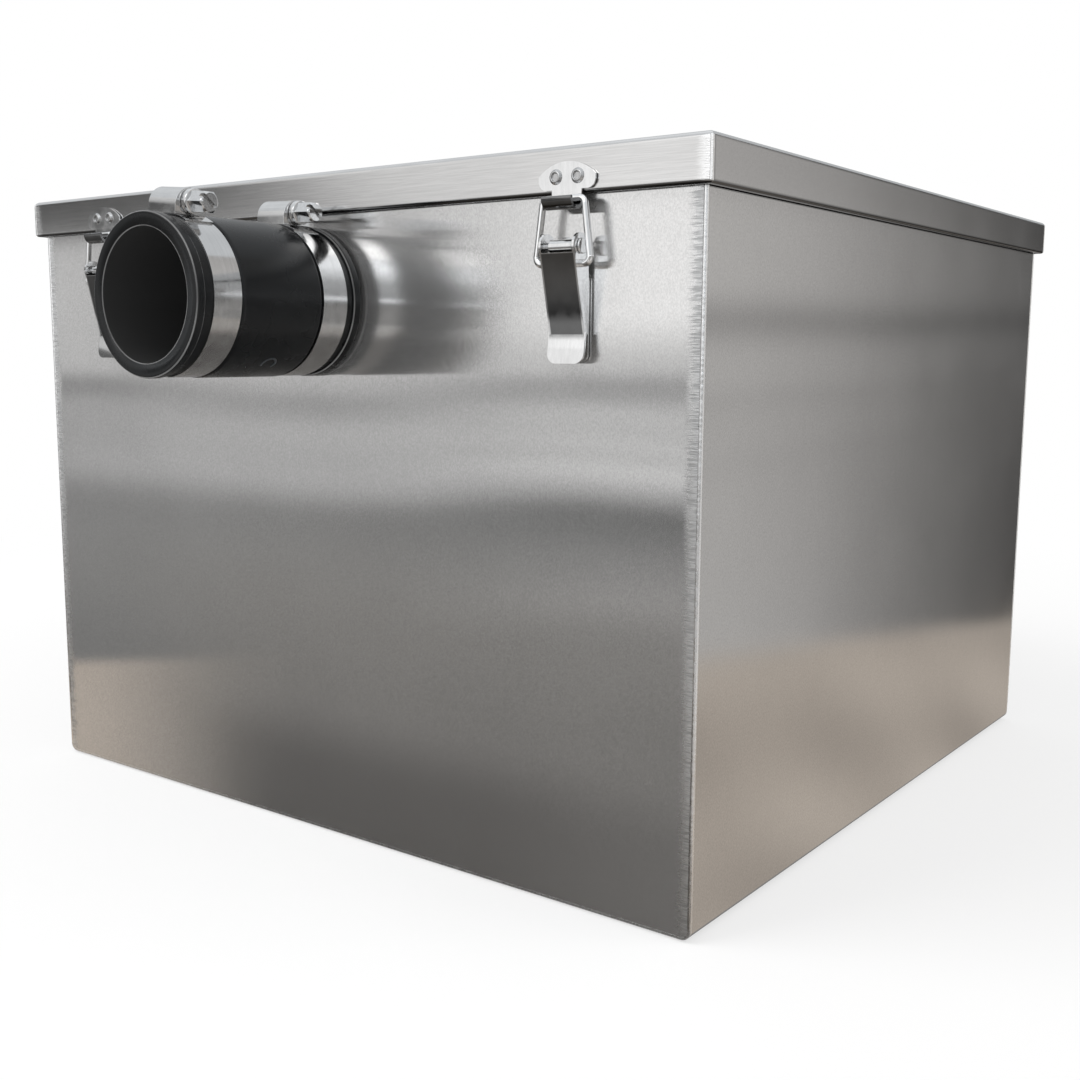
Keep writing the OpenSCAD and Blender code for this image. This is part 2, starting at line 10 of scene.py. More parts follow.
import bmesh
import bpy
import numpy as np
from mathutils import Matrix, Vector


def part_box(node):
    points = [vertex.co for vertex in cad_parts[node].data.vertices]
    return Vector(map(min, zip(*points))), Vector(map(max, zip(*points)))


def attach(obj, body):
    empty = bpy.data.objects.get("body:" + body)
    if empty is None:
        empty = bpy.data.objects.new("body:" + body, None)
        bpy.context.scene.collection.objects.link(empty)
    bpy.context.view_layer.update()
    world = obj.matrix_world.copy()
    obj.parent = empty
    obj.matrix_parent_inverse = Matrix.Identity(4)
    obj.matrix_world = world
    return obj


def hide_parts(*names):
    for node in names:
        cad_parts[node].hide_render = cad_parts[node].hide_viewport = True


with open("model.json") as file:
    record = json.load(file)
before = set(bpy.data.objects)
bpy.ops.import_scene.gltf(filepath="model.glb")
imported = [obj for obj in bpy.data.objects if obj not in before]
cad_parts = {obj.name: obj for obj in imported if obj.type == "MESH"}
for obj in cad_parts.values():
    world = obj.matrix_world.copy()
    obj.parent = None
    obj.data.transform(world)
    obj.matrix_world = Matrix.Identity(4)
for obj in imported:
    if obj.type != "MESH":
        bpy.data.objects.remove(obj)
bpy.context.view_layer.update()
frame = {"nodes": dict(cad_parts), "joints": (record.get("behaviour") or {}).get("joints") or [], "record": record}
nodes = frame["nodes"]
joints = {joint["name"]: joint for joint in frame["joints"]}
slot_of = {part["node"]: part["material_slot"] for part in frame["record"]["subparts"]}
body_of = {name: body for body, names in frame["record"]["behaviour"]["bodies"].items() for name in names}
MM = 0.001

panel_low, panel_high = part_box("front_panel")
lid_low, lid_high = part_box("lid")
HALF_W = panel_high.x
FRONT_Y = panel_low.y
RIM_TOP = panel_high.z
print(f"tank {2 * HALF_W:.3f} m wide, {-2 * FRONT_Y:.3f} m deep, {len(nodes)} parts")

# %% [markdown]
# ## Camera
# The photograph was taken from close by, a little below the lid, so the verticals stay upright and the two
# visible panels run away steeply. The lens and the eye point below were solved from the box's own edges.

# %% Camera at the photograph's eye point
PHOTO_SIZE = 1080
FOCAL_PIXELS = 1299.2
EYE = np.array([0.433, -0.607, 0.224])
AZIMUTH, ELEVATION, ROLL = (math.radians(a) for a in (36.55, 8.31, 0.33))

eye_back = np.array([math.sin(AZIMUTH) * math.cos(ELEVATION), -math.cos(AZIMUTH) * math.cos(ELEVATION),
                     math.sin(ELEVATION)])
eye_right = np.array([math.cos(AZIMUTH), math.sin(AZIMUTH), 0.0])
eye_up = np.cross(eye_back, eye_right)
rolled_right = math.cos(ROLL) * eye_right + math.sin(ROLL) * eye_up
rolled_up = math.cos(ROLL) * eye_up - math.sin(ROLL) * eye_right

camera_data = bpy.data.cameras.new("photo_camera")
camera_data.sensor_width = 36
camera_data.lens = FOCAL_PIXELS / PHOTO_SIZE * camera_data.sensor_width
camera = bpy.data.objects.new("photo_camera", camera_data)
axes = np.eye(4)
axes[:3] = np.column_stack([rolled_right, rolled_up, eye_back, EYE])
camera.matrix_world = Matrix(axes.tolist())
bpy.context.scene.collection.objects.link(camera)
bpy.context.scene.camera = camera
bpy.context.scene.view_settings.view_transform = "Standard"
print(f"lens {camera_data.lens:.1f} mm")

# %% [markdown]
# ## Small helpers
# A shader is easier to read when a node and its inputs are one line, and a grid of points when one function
# makes it a mesh. These few helpers are used by every later cell.

# %% Helpers for nodes
def node(tree, kind, inputs=None, **settings):
    """Adds a node; an input is a plain value or another node's output socket."""
    made = tree.nodes.new(kind)
    for name, value in settings.items():
        setattr(made, name, value)
    for name, value in (inputs or {}).items():
        socket = made.inputs[name]
        if isinstance(value, bpy.types.NodeSocket):
            tree.links.new(value, socket)
        else:
            socket.default_value = value
    return made


def maths(tree, operation, a, b=0.0):
    """One Math node, as an output socket."""
    return node(tree, "ShaderNodeMath", {0: a, 1: b}, operation=operation).outputs[0]


def between(tree, value, low, high, to_low=0.0, to_high=1.0):
    """Map Range from low..high to to_low..to_high with smooth ends, as an output socket."""
    return node(tree, "ShaderNodeMapRange", {
        "Value": value, "From Min": low, "From Max": high, "To Min": to_low, "To Max": to_high,
    }, interpolation_type="SMOOTHSTEP").outputs[0]


def mixed(tree, factor, a, b):
    """Colour a where factor is 0 and b where it is 1, as an output socket."""
    return node(tree, "ShaderNodeMix", {0: factor, 6: a, 7: b}, data_type="RGBA").outputs[2]


def grey(level, warmth=0.0):
    """A grey colour; warmth takes a share off the blue and half of it off the green."""
    return (level, level * (1 - warmth / 2), level * (1 - warmth), 1)


def object_place(tree):
    """Object coordinates, in metres from the trap's origin, as an output socket."""
    return tree.nodes.new("ShaderNodeTexCoord").outputs["Object"]


def emptied(owner):
    """The node tree of a material or a world, with nothing in it yet."""
    owner.use_nodes = True
    owner.node_tree.nodes.clear()
    return owner.node_tree


print("node helpers ready")

# %% Helpers for meshes
def grid_faces(rows, columns, close_columns=False):
    """Quads over a grid of rows x columns points, whose columns wrap round where asked."""
    i = np.arange(rows - 1)[:, None]
    j = np.arange(columns if close_columns else columns - 1)[None, :]
    across = (j + 1) % columns
    corners = [i * columns + j, (i + 1) * columns + j, (i + 1) * columns + across, i * columns + across]
    return np.stack([np.broadcast_to(c, (i.size, j.size)) for c in corners], -1).reshape(-1, 4)


def mesh_piece(name, points, faces, smooth=True):
    """A mesh object at the origin from points in metres and faces that point outwards."""
    mesh = bpy.data.meshes.new(name)
    mesh.from_pydata(np.asarray(points, float).reshape(-1, 3).tolist(), [], [list(map(int, f)) for f in faces])
    mesh.polygons.foreach_set("use_smooth", np.full(len(mesh.polygons), smooth))
    mesh.update()
    piece = bpy.data.objects.new(name, mesh)
    bpy.context.scene.collection.objects.link(piece)
    return piece


def ease(low, high, value):
    """Smooth step from 0 at low to 1 at high."""
    t = np.clip((np.asarray(value, float) - low) / (high - low), 0, 1)
    return t * t * (3 - 2 * t)


print("mesh helpers ready")

# %% [markdown]
# ## Floor, world and lamps
# The product stands on a white sweep. Camera and mirror rays see the floor and the world as plain white, and
# part of the floor's own shading is mixed in so that the trap keeps its soft contact shadow. Far from the trap
# the floor turns fully white, so its edge never shows.

# %% White floor
FLOOR_HALF, FLOOR_Z = 6.0, -1.0 * MM
SHADE_REACH, WHITE_REACH, NEAR_WHITE = 0.45, 1.0, 0.6


def background_rays(tree):
    """1 for rays that show the background: from the camera, a mirror or a glass."""
    path = tree.nodes.new("ShaderNodeLightPath")
    seen = maths(tree, "MAXIMUM", path.outputs["Is Camera Ray"], path.outputs["Is Glossy Ray"])
    return maths(tree, "MAXIMUM", seen, path.outputs["Is Transmission Ray"])


corners = np.array([[-1, -1], [1, -1], [1, 1], [-1, 1]]) * FLOOR_HALF
floor = mesh_piece("floor", np.column_stack([corners, np.full(4, FLOOR_Z)]), [[0, 1, 2, 3]], smooth=False)
floor_material = bpy.data.materials.new("white floor")
tree = emptied(floor_material)
matt = node(tree, "ShaderNodeBsdfDiffuse", {"Color": grey(1.0)})
glow = node(tree, "ShaderNodeEmission", {"Color": grey(1.0), "Strength": 1.0})
from_trap = node(tree, "ShaderNodeVectorMath", {0: object_place(tree)}, operation="LENGTH").outputs["Value"]
whiteness = between(tree, from_trap, SHADE_REACH, WHITE_REACH, NEAR_WHITE, 1.0)
shown = node(tree, "ShaderNodeMixShader", {0: whiteness, 1: matt.outputs[0], 2: glow.outputs[0]})
either = node(tree, "ShaderNodeMixShader", {0: background_rays(tree), 1: matt.outputs[0], 2: shown.outputs[0]})
node(tree, "ShaderNodeOutputMaterial", {0: either.outputs[0]})
floor.data.materials.append(floor_material)
print(f"floor {2 * FLOOR_HALF:.0f} m wide")

# %% White world
SKY_LIGHT = 0.7

world = bpy.data.worlds.new("studio")
bpy.context.scene.world = world
tree = emptied(world)
soft_sky = node(tree, "ShaderNodeBackground", {"Color": grey(1.0), "Strength": SKY_LIGHT})
white_sky = node(tree, "ShaderNodeBackground", {"Color": grey(1.0), "Strength": 1.0})
either = node(tree, "ShaderNodeMixShader",
              {0: background_rays(tree), 1: soft_sky.outputs[0], 2: white_sky.outputs[0]})
node(tree, "ShaderNodeOutputWorld", {0: either.outputs[0]})
print("world lights with a strength of", SKY_LIGHT)

# %% Two soft lamps
LAMP_AIM = np.array([0, 0, 0.15])


def soft_lamp(name, place, size, watts):
    """A square area lamp that faces the middle of the trap and doesn't show in mirrors."""
    data = bpy.data.lights.new(name, "AREA")
    data.size, data.energy = size, watts
    away = np.array(place) - LAMP_AIM
    away = away / np.linalg.norm(away)
    side = np.cross([0, 0, 1], away)
    side = side / np.linalg.norm(side)
    turned = np.eye(4)
    turned[:3] = np.column_stack([side, np.cross(away, side), away, place])
    lamp = bpy.data.objects.new(name, data)
    lamp.matrix_world = Matrix(turned.tolist())
    lamp.visible_glossy = False
    bpy.context.scene.collection.objects.link(lamp)
    print(f"{name}: {watts} W")


soft_lamp("key_lamp", (-0.9, -1.2, 1.9), 1.4, 22)
soft_lamp("fill_lamp", (1.8, 0.6, 1.6), 1.2, 9)

# %% [markdown]
# ## Reflection cards
# Bare steel shows its surroundings more than its own colour. A photographer shapes those reflections with grey
# cards round the set, and so do the next cells. A card is found by mirroring the eye point in a panel and carrying
# each point of the panel along its line of sight until it meets the ground or a far wall. The card's tones can
# then be written as tones on the panel. Only mirror rays see the cards, so they light nothing and hide nothing.

# %% Helpers for cards
CARD_Z = -0.5 * MM
WARM, COOL = np.array([1.0, 0.89, 0.78]), np.array([0.97, 1.0, 1.03])

card_material = bpy.data.materials.new("card tone")
tree = emptied(card_material)
tone = node(tree, "ShaderNodeAttribute", attribute_name="tone")
emit = node(tree, "ShaderNodeEmission", {"Color": tone.outputs["Color"], "Strength": 1.0})
node(tree, "ShaderNodeOutputMaterial", {0: emit.outputs[0]})


def tone_card(name, points, tones):
    """A grid of points that emits one tone per point and is seen by mirror rays alone."""
    card = mesh_piece(name, points, grid_faces(*points.shape[:2]))
    colours = card.data.color_attributes.new("tone", "FLOAT_COLOR", "POINT")
    rgba = np.concatenate([tones, np.ones(tones.shape[:2] + (1,))], -1)
    colours.data.foreach_set("color", rgba.astype(np.float32).ravel())
    card.data.materials.append(card_material)
    card.visible_camera = card.visible_diffuse = card.visible_shadow = False
    card.visible_transmission = card.visible_volume_scatter = False
    print(name, "with", len(card.data.vertices), "tones")


def mirror_card(name, eye, panel_points, reach, tones):
    """Carries each panel point P from the mirrored eye E to E + t (P - E), with t where the line meets the
    ground and at most reach, and gives the grid one emitted tone per point."""
    lines = panel_points - eye
    falling = np.minimum(lines[..., 2], -1e-6)
    t = np.where(lines[..., 2] < 0, np.minimum((CARD_Z - eye[2]) / falling, reach), reach)
    tone_card(name, eye + t[..., None] * lines, tones)


def panel_grid(left, right):
    """Two grids over a panel and the room beside it: places from left to right, and heights."""
    return np.meshgrid(np.linspace(left, right, 220), np.linspace(0.0, 0.6, 320), indexing="ij")


def bump(value, centre, width):
    """A soft bump of height 1 at a centre, about two widths across."""
    return np.exp(-((value - centre) / width) ** 2)


def curve(value, *marks):
    """Straight lines through marks of (value, tone)."""
    values, tones = zip(*marks)
    return np.interp(value, values, tones)


print("cards lie", round((CARD_Z - FLOOR_Z) / MM, 2), "mm above the floor")

# %% [markdown]
# ### Front card
# From the foot up, the front panel shows a dim warm ground with a pale patch at the left, a lighter middle, a dark
# wave below the coupling and a bright sky. Thin sheet is never flat, so these bands bend upwards at both sides,
# and a few crests and troughs cross them at the right. The lid's skirt has tones of its own. The end panels also
# scatter a share of the room's light, which is called haze here, so the card leaves that much light out.

# %% Front card
HAZE, ROOM_LIGHT = 0.14, 0.9
FRONT_REACH = 4.2

across, height = panel_grid(-1.3, 0.40)
to_left, to_right = ease(-0.05, -0.16, across), ease(0.05, 0.17, across)
lift = 0.013 * ease(0.03, 0.125, across + 0.7 * (height - 0.185))
lift += 0.006 * ease(-0.02, -0.10, across) * ease(0.17, 0.19, height)
rise = height - lift

ground_tone = curve(rise, (0.0, 0.24), (0.05, 0.245), (0.07, 0.25), (0.09, 0.275), (0.13, 0.31), (0.146, 0.30),
                    (0.152, 0.32), (0.156, 0.42), (0.161, 0.55), (0.166, 0.57))
sky_tone = curve(rise, (0.166, 0.0), (0.175, -0.02), (0.186, 0.03), (0.191, 0.01), (0.194, -0.14), (0.200, -0.17),
                 (0.2015, -0.07), (0.204, 0.13), (0.212, 0.13), (0.23, 0.08), (0.6, 0.13))
foot_shade = ease(-0.13, -0.02, across) * (1 - 0.45 * ease(0.08, 0.2, across)) * (1 - ease(0.03, 0.065, height))
level = (ground_tone + sky_tone) * (1 - 0.38 * foot_shade)
level -= 0.15 * to_left * bump(rise, 0.190, 0.030)
crests = 0.24 * bump(rise, 0.167, 0.004) + 0.17 * bump(rise, 0.177, 0.003) + 0.08 * bump(rise, 0.188, 0.006)
troughs = 0.14 * bump(rise, 0.152, 0.005) + 0.07 * bump(rise, 0.143, 0.006)
level += to_right * (crests - troughs + 0.50 * ease(0.204, 0.226, rise) + 0.08 * bump(rise, 0.118, 0.009))

skirt = ease(0.276, 0.283, height)
lid_x = across + 0.8 * (height - 0.29)
lid_level = 0.11 + 0.39 * ease(-0.025, 0.005, lid_x) + 0.38 * ease(-0.01, 0.06, lid_x)
lid_level += 0.12 * ease(0.06, 0.2, lid_x)
high_window = 1.6 * ease(0.36, 0.46, height) * ease(0.12, 0.3, across)
level = level * (1 - skirt) + skirt * lid_level + high_window

warmth = 0.30 * (1 - ease(0.10, 0.17, height)) * (1 - 0.7 * to_left)
front_tones = level[..., None] * (1 - (1 - WARM) * warmth[..., None])
patch_edge = 0.052 + 0.17 * (across + 0.187)
patch_share = (ease(-0.03, -0.2, across) * (1 - ease(-0.004, 0.004, height - patch_edge)))[..., None]
front_tones = front_tones * (1 - patch_share) + patch_share * 0.56 * WARM
front_tones += (0.4 * ease(0.26, 0.34, across) * (1 - ease(0.13, 0.19, height)))[..., None]
scatter = HAZE * (1 - skirt)[..., None]
front_tones = np.maximum(front_tones - ROOM_LIGHT * scatter, 0) / (1 - scatter)

front_points = np.stack([across, np.full_like(across, FRONT_Y), height], -1)
front_eye = EYE * [1, -1, 1] + [0, 2 * FRONT_Y, 0]
mirror_card("front_card", front_eye, front_points, FRONT_REACH, front_tones)

# %% [markdown]
# ### Side card
# The right side fades from light at the near corner to dark at the far one. Three faint dark lines climb slowly
# across it, and below a sloping edge it shows the warm ground with uneven streaks.

# %% Side card
SIDE_REACH = 7.0

along, height = panel_grid(-0.56, 1.4)
level = curve(along, (-0.4, 0.70), (-0.25, 0.58), (-0.15, 0.51), (-0.1, 0.45), (-0.05, 0.33), (0.0, 0.25),
              (0.05, 0.19), (0.1, 0.145), (0.15, 0.10), (0.2, 0.06), (0.3, 0.03), (1.4, 0.03))
rise = height - 0.02 * (along + 0.2)
level *= 1 - 0.30 * bump(rise, 0.234, 0.008) - 0.09 * bump(rise, 0.206, 0.004) - 0.08 * bump(rise, 0.183, 0.003)
level *= curve(height, (0.08, 0.97), (0.2, 0.97), (0.25, 1.1), (0.276, 1.1), (0.284, 0.88))
ground_edge = curve(along, (-0.2, 0.112), (0.2, 0.062))
low = 1 - ease(-0.005, 0.006, height - ground_edge)
streaks = np.sin((along + 2.2 * height) / 0.028) * np.sin((along - 1.1 * height) / 0.071)
side_tones = level[..., None] * (1 - 0.2 * (1 - WARM))
side_tones = side_tones * (1 - low[..., None]) + (low * (0.48 + 0.07 * streaks))[..., None] * WARM

side_points = np.stack([np.full_like(along, HALF_W), along, height], -1)
side_eye = EYE * [-1, 1, 1] + [2 * HALF_W, 0, 0]
mirror_card("side_card", side_eye, side_points, SIDE_REACH, side_tones)

# %% [markdown]
# ### Room card
# The round hardware and the other sides reflect the rest of the room. It is one surface of revolution: a floor, a
# wall and a ceiling, lit more towards the top, with a bright window high in front and a thin bright horizon. Its
# floor lies just below the other cards, so that they cover it.

# %% Room card
ROOM_R, ROOM_TOP, ROOM_FOOT = 8.0, 4.0, 1.5 * CARD_Z
FLOOR_END, WALL_END = 0.4, 0.6
WINDOW_TURN, HORIZON_TURN = 1.45, 0.95

turn, reach = np.meshgrid(np.linspace(0, 2 * math.pi, 145), np.linspace(0, 1, 90), indexing="ij")
room_r = curve(reach, (0, 0.01), (FLOOR_END, ROOM_R), (WALL_END, ROOM_R), (1, 0.01))
room_z = curve(reach, (0, ROOM_FOOT), (FLOOR_END, ROOM_FOOT), (WALL_END, ROOM_TOP), (1, ROOM_TOP))
room_points = np.stack([room_r * np.cos(turn), room_r * np.sin(turn), room_z], -1)
room_level = curve(reach, (0, 0.22), (0.05, 0.42), (0.25, 0.28), (FLOOR_END, 0.3), (0.42, 0.5), (0.5, 0.62),
                   (WALL_END, 0.7), (0.88, 0.9), (0.92, 1.1), (1, 1.1))
window = curve(reach, (0.46, 0.0), (0.54, 0.6), (0.62, 1.9), (0.74, 1.9), (0.84, 0.8), (0.9, 0.0))
window = window * ease(0.82, 0.97, np.cos(turn + WINDOW_TURN))
horizon = 1.3 * bump(reach, 0.437, 0.014) * ease(0.7, 0.97, np.cos(turn + HORIZON_TURN))
room_tones = (room_level + window + horizon)[..., None] * (0.9 + 0.1 * np.cos(2 * turn))[..., None]
room_tones = room_tones * np.where(reach[..., None] < FLOOR_END, WARM ** 0.15, COOL)
tone_card("room_card", room_points, room_tones)

# %% [markdown]
# ## Shared surface effects
# Three effects come back in several finishes, so each is a node group: the fine lines that brushing leaves, the
# gentle waves of thin sheet, and the rough bright band where a weld was ground flush.

# %% Helpers for node groups
def new_group(name, inputs, outputs):
    """An empty shader group with named sockets; returns tree, its input node and its output node."""
    tree = bpy.data.node_groups.new(name, "ShaderNodeTree")
    for direction, sockets in (("INPUT", inputs), ("OUTPUT", outputs)):
        for label, kind in sockets.items():
            tree.interface.new_socket(label, in_out=direction, socket_type="NodeSocket" + kind)
    return tree, tree.nodes.new("NodeGroupInput"), tree.nodes.new("NodeGroupOutput")


def use_group(tree, group, inputs):
    """Places a group in a material and sets its inputs."""
    return node(tree, "ShaderNodeGroup", inputs, node_tree=group)


def noise(tree, place, scale, detail=2.0, rough=0.5):
    """A noise value between 0 and 1 at a place, as an output socket."""
    return node(tree, "ShaderNodeTexNoise",
                {"Vector": place, "Scale": scale, "Detail": detail, "Roughness": rough}).outputs[0]


def stretched(tree, place, by):
    """A place whose axes are each multiplied by their own factor, as an output socket."""
    return node(tree, "ShaderNodeVectorMath", {0: place, 1: by}, operation="MULTIPLY").outputs[0]


def blended(tree, a, b, share):
    """The value a (1 - share) + b share, as an output socket."""
    return maths(tree, "ADD", maths(tree, "MULTIPLY", a, 1 - share), maths(tree, "MULTIPLY", b, share))


print("group helpers ready")

# %% Node groups for brushed, wavy and ground steel
brushed, source, sink = new_group("brushed lines", {"Place": "Vector", "Lines": "Vector"},
                                  {"Streak": "Float", "Patch": "Float", "Fine": "Float"})
lines = stretched(brushed, source.outputs["Place"], source.outputs["Lines"])
fine, coarse = noise(brushed, lines, 1.0, 3.0, 0.6), noise(brushed, lines, 0.31, 2.0)
brushed.links.new(between(brushed, blended(brushed, fine, coarse, 0.15), 0.3, 0.7), sink.inputs["Streak"])
brushed.links.new(fine, sink.inputs["Fine"])
brushed.links.new(noise(brushed, source.outputs["Place"], 14.0, 3.0), sink.inputs["Patch"])

waves, source, sink = new_group("sheet waves", {"Place": "Vector", "Stretch": "Vector"}, {"Height": "Float"})
swell = stretched(waves, source.outputs["Place"], source.outputs["Stretch"])
waves.links.new(noise(waves, swell, 1.0, 1.0, 0.35), sink.inputs["Height"])

ground, source, sink = new_group(
    "ground weld", {"Place": "Vector", "Distance": "Float", "Width": "Float", "Strokes": "Vector"},
    {"Mask": "Float", "Stroke": "Float"})
stroke = noise(ground, stretched(ground, source.outputs["Place"], source.outputs["Strokes"]), 1.0, 2.0, 0.6)
ragged = maths(ground, "MULTIPLY", maths(ground, "SUBTRACT", stroke, 0.5), 1.3)
share = maths(ground, "DIVIDE", source.outputs["Distance"], source.outputs["Width"])
ground.links.new(between(ground, maths(ground, "ADD", share, ragged), 0.3, 1.1, 1.0, 0.0), sink.inputs["Mask"])
ground.links.new(between(ground, stroke, 0.35, 0.65), sink.inputs["Stroke"])
print("groups:", ", ".join(group.name for group in (brushed, waves, ground)))

# %% [markdown]
# ## Sheet steel
# The tank is satin stainless: the mill's fine lines run up the panels, so reflections smear sideways but keep
# their level edges. That is an anisotropic reflection with a level tangent. Where the end panels meet the folded
# wrap, the welds were ground flush with short strokes across the seam. The lid is brushed the other way; its
# skirt ends in a hem whose fold gets a painted shade, and a stripe of painted shade runs near the ends of its sides.

# %% Helpers for finishes
def new_material(name):
    """A material with a Principled shader on its output; returns material, tree and shader."""
    material = bpy.data.materials.new(name)
    tree = emptied(material)
    shader = tree.nodes.new("ShaderNodeBsdfPrincipled")
    node(tree, "ShaderNodeOutputMaterial", {0: shader.outputs[0]})
    return material, tree, shader


def bumped(tree, height, depth, under=None):
    """A normal from a height between 0 and 1 and its depth in metres, over another normal."""
    inputs = {"Height": height, "Distance": depth, "Strength": 1.0}
    if under is not None:
        inputs["Normal"] = under
    return node(tree, "ShaderNodeBump", inputs).outputs[0]


# painted shade: a dark fold at the foot of the lid's hem, and a dark stripe near the ends of its sides
PAINTED_FOLD_SHADE, PAINTED_STRIPE_SHADE = 0.05, 0.2


def paint_hem_shade(tree, colour, z, from_side, from_end, foot):
    """Paints shade into the fold at the foot of a hem, and a narrow stripe of painted shade near the ends of its
    sides.
    """
    # painted shade in the fold at the foot of the hem
    above_fold = between(tree, z, foot + 0.2 * MM, foot + 1.9 * MM)
    colour = mixed(tree, above_fold, grey(PAINTED_FOLD_SHADE), colour)
    # painted shade: a narrow stripe on the sides near their ends
    stripe = maths(tree, "MULTIPLY", between(tree, from_end, 0.8 * MM, 2.6 * MM, 0.6, 0.0),
                   between(tree, from_side, 0.1 * MM, 0.3 * MM, 1.0, 0.0))
    return mixed(tree, stripe, colour, grey(PAINTED_STRIPE_SHADE))


print("finish helpers ready")

# %% Finishes of the tank, the lid and the inside
UPRIGHT_LINES, UPRIGHT_SCORE, LEVEL_LINES = (1750, 1750, 1050), (6000, 6000, 110), (60, 2000, 2600)
WAVE_STRETCH, WAVE_DEPTH = (4.0, 4.0, 6.5), 0.9 * MM
CORNER_STROKES, FOOT_STROKES, STROKE_DEPTH = (140, 140, 2200), (2200, 2200, 140), 0.03 * MM
STEEL_WARMTH = 0.015


def sheet_steel(name, lines, tones=(0.575, 0.785), roughness=(0.096, 0.110), anisotropy=1.0, haze=0.0,
                score=UPRIGHT_SCORE, grain_depth=0.016 * MM, seam=0.0, foot_seam=0.0, seam_rough=0.30,
                seam_tones=(0.58, 0.93), hem=None, reach=(HALF_W, -FRONT_Y)):
    """Brushed sheet. seam is the width of the ground band at the upright corners, which stand at +-reach in x and
    y, seam_tones its dark and bright strokes, and foot_seam its width at the bottom edge. hem is the height of a
    folded edge: its fold gets a painted shade, the ends of such a sheet carry the ground band, and its sides a
    narrow stripe of painted shade. haze is the share of light that the sheet scatters instead of mirroring."""
    material, tree, shader = new_material(name)
    place = object_place(tree)
    grain = use_group(tree, brushed, {"Place": place, "Lines": lines})
    patch = grain.outputs["Patch"]
    tone = blended(tree, grain.outputs["Streak"], patch, 0.45)
    colour = mixed(tree, tone, grey(tones[0], STEEL_WARMTH), grey(tones[1], STEEL_WARMTH))
    rough = between(tree, patch, 0.25, 0.75, *roughness)
    wave = use_group(tree, waves, {"Place": place, "Stretch": WAVE_STRETCH}).outputs["Height"]
    scored = use_group(tree, brushed, {"Place": place, "Lines": score}).outputs["Fine"]
    normal = bumped(tree, scored, grain_depth, bumped(tree, wave, WAVE_DEPTH))
    x, y, z = node(tree, "ShaderNodeSeparateXYZ", {0: place}).outputs
    from_side = maths(tree, "SUBTRACT", reach[0], maths(tree, "ABSOLUTE", x))
    from_end = maths(tree, "SUBTRACT", reach[1], maths(tree, "ABSOLUTE", y))
    corner = maths(tree, "MAXIMUM", from_side, from_end)
    if hem is not None:
        # the hem gets painted shade in its fold and near its corners
        colour = paint_hem_shade(tree, colour, z, from_side, from_end, hem)
        corner = maths(tree, "ADD", corner, between(tree, from_end, 0.1 * MM, 0.4 * MM, 0.0, seam))
    for width, strokes, distance in ((seam, CORNER_STROKES, corner), (foot_seam, FOOT_STROKES, z)):
        if width > 0:
            weld = use_group(tree, ground, {"Place": place, "Distance": distance, "Width": width,
                                            "Strokes": strokes})
            mask, stroke = weld.outputs["Mask"], weld.outputs["Stroke"]
            colour = mixed(tree, mask, colour, mixed(tree, stroke, grey(seam_tones[0]), grey(seam_tones[1])))
            rough = maths(tree, "ADD", rough, maths(tree, "MULTIPLY", mask, seam_rough))
            normal = bumped(tree, maths(tree, "MULTIPLY", mask, stroke), STROKE_DEPTH, normal)
    tree.links.new(colour, shader.inputs["Base Color"])
    tree.links.new(rough, shader.inputs["Roughness"])
    tree.links.new(normal, shader.inputs["Normal"])
    tangent = node(tree, "ShaderNodeTangent", direction_type="RADIAL", axis="Z")
    tree.links.new(tangent.outputs[0], shader.inputs["Tangent"])
    shader.inputs["Metallic"].default_value = 1.0 - haze
    shader.inputs["Anisotropic"].default_value = anisotropy
    return material


panel_steel = sheet_steel("end panel steel", UPRIGHT_LINES, seam=7.0 * MM, foot_seam=1.6 * MM, haze=HAZE)
wrap_steel = sheet_steel("folded wrap steel", UPRIGHT_LINES, seam=1.0 * MM, grain_depth=0.004 * MM)
lid_steel = sheet_steel("lid steel", LEVEL_LINES, tones=(0.6, 0.76), roughness=(0.12, 0.16), anisotropy=0.4,
                        score=LEVEL_LINES, grain_depth=0.003 * MM, seam=6.5 * MM, seam_rough=0.06,
                        seam_tones=(0.9, 0.99), hem=lid_low.z, reach=(lid_high.x, lid_high.y))
inner_steel = sheet_steel("inner steel", UPRIGHT_LINES, tones=(0.42, 0.55), roughness=(0.3, 0.42), anisotropy=0.4)
print("sheet finishes ready")

# %% [markdown]
# ## Bright hardware
# Latches and clips are small bright pressings with rolling lines, soft patches and fine scratches. A lever's sunk
# web and a catch plate's hook get a painted dark reflection of the ground in their colour, and a painted shade
# draws a dark line where a plate meets the sheet that it is riveted to.

# %% Finishes of the latches and clips
LATCH_X, _, PIVOT_Z = joints["front_right_lever_swing"]["pos_m"]
TAB_LEN, WEB_DROP, LEVER_W, RIM_W = 11.0 * MM, 2.7 * MM, 16.2 * MM, 0.65 * MM
# the painted dark reflection goes on the lever's sunk web and the catch plate's hook
web_span = (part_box("front_right_lever")[0].z + TAB_LEN, PIVOT_Z - WEB_DROP, LEVER_W / 2 - RIM_W)
hook_span = (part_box("front_right_catch_plate")[0].z - MM, lid_low.z - 1.2 * MM, LEVER_W)
PRESSED_LINES, ROLLED_LINES = (900, 900, 120), (40, 2600, 40)
# the first pair of tones is the painted dark reflection, the last tone the painted contact shade
PAINTED_REFLECTION_TONES, PAINTED_CONTACT_SHADE = (0.17, 0.27), 0.04


